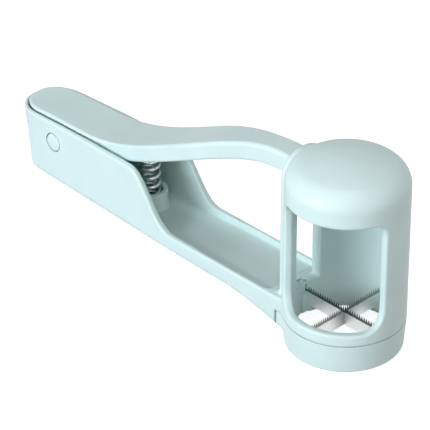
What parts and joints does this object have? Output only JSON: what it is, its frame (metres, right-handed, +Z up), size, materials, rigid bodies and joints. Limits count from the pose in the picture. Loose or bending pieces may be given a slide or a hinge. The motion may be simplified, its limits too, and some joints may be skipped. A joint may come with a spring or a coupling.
{
  "type": "tomato slicer",
  "caption": "Squeeze slicer for cherry tomatoes: a sprung lever swings a lobed pusher down a domed barrel with a loading window onto crossed serrated blades.",
  "frame": {"origin": "on the barrel's axis, level with the foot of the blade ring", "axes": "+Z up along the barrel's axis, +X from the handle towards the barrel, the loading window faces -Y and +X"},
  "size_m": [0.1773, 0.042, 0.071],
  "materials": {
    "plastic": "satin moulded",
    "plastic_inner": "satin moulded",
    "blade_steel": "bright brushed",
    "spring_steel": "polished drawn wire",
    "screw_steel": "plated",
    "pin_steel": "ground"
  },
  "bodies": {
    "housing": {"body": "plastic", "blade_ring": "plastic", "blade_long": "blade_steel", "blade_cross": "blade_steel", "return_spring": "spring_steel", "pivot_pin": "pin_steel", "pivot_cap_near": "plastic", "pivot_cap_far": "plastic"},
    "lever": {"lever": "plastic", "pusher": "plastic_inner", "pusher_screw": "screw_steel"}
  },
  "joints": [
    {"name": "lever_squeeze", "type": "hinge", "parent": "housing", "child": "lever", "pos_m": [-0.1336, 0, 0.024], "axis": [0, 1, 0], "range_deg": [0, 17.5], "stiffness_Nm_per_rad": 0.75, "springref_deg": -4.58, "deforming": ["return_spring"]}
  ]
}
